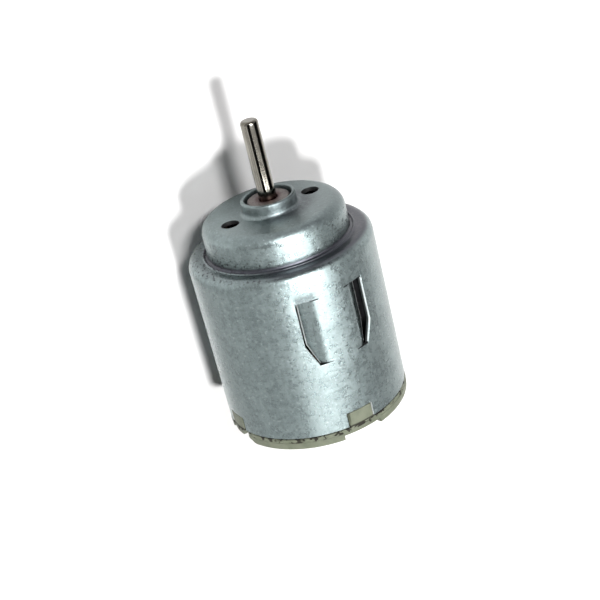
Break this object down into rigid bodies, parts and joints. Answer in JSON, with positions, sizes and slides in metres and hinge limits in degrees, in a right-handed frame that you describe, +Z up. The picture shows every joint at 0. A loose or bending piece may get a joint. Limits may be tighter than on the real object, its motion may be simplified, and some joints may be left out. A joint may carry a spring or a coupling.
{
  "type": "brushed dc motor",
  "caption": "Small round brushed DC motor: stepped steel case with a bearing boss and lanced windows, plain shaft, wound rotor, brush gear and a plastic end bell.",
  "frame": {"origin": "on the shaft's axis, at the front mounting face of the case", "axes": "-Y along the shaft, out of the front of the motor; X through the two screw holes; +Z up, through the middle of the two windows, with the motor lying on its side"},
  "size_m": [0.021, 0.0382, 0.0212],
  "materials": {
    "zinc_steel": "zinc-plated sheet steel, satin, slightly blue-grey",
    "shaft_steel": "ground and polished steel",
    "bearing_bronze": "oil-soaked sintered bronze, dull brown",
    "ivory_plastic": "moulded ivory plastic, satin",
    "ferrite": "pressed ferrite, matt charcoal",
    "spring_steel": "spring steel strip",
    "core_steel": "stamped silicon steel",
    "green_insulator": "green fibre sheet",
    "enamelled_copper": "enamelled copper wire, glossy",
    "copper": "bare copper, polished by the brushes",
    "phenolic": "brown moulded phenolic",
    "nylon": "natural nylon",
    "brass": "brass strip",
    "phosphor_bronze": "phosphor bronze leaf",
    "carbon": "pressed carbon"
  },
  "bodies": {
    "motor_frame": {"can": "zinc_steel", "front_bearing": "bearing_bronze", "magnet_left": "ferrite", "magnet_right": "ferrite", "magnet_clip": "spring_steel", "end_bell": "ivory_plastic", "rear_bearing": "bearing_bronze", "terminal_left": "brass", "terminal_right": "brass"},
    "rotor": {"shaft": "shaft_steel", "front_thrust_washer": "nylon", "front_spacer": "nylon", "lamination_01": "core_steel", "lamination_02": "core_steel", "lamination_03": "core_steel", "lamination_04": "core_steel", "lamination_05": "core_steel", "lamination_06": "core_steel", "lamination_07": "core_steel", "lamination_08": "core_steel", "lamination_09": "core_steel", "lamination_10": "core_steel", "lamination_11": "core_steel", "lamination_12": "core_steel", "front_insulator": "green_insulator", "rear_insulator": "green_insulator", "coil_1": "enamelled_copper", "coil_2": "enamelled_copper", "coil_3": "enamelled_copper", "commutator_base": "phenolic", "commutator_segment_1": "copper", "commutator_segment_2": "copper", "commutator_segment_3": "copper", "commutator_collar": "phenolic", "rear_thrust_washer": "nylon"},
    "brush_assembly_left": {"brush_arm_left": "phosphor_bronze", "brush_left": "carbon"},
    "brush_assembly_right": {"brush_arm_right": "phosphor_bronze", "brush_right": "carbon"}
  },
  "joints": [
    {"name": "rotor_spin", "type": "hinge", "parent": "motor_frame", "child": "rotor", "pos_m": [0, 0, 0], "axis": [0, -1, 0], "continuous": true},
    {"name": "brush_lift_left", "type": "hinge", "parent": "motor_frame", "child": "brush_assembly_left", "pos_m": [-0.0042, 0.02105, -0.0052], "axis": [0, -1, 0], "range_deg": [0, 8], "stiffness_Nm_per_rad": 0.01, "springref_deg": -8.59},
    {"name": "brush_lift_right", "type": "hinge", "parent": "motor_frame", "child": "brush_assembly_right", "pos_m": [0.0042, 0.02105, -0.0052], "axis": [0, 1, 0], "range_deg": [0, 8], "stiffness_Nm_per_rad": 0.01, "springref_deg": -8.59}
  ]
}
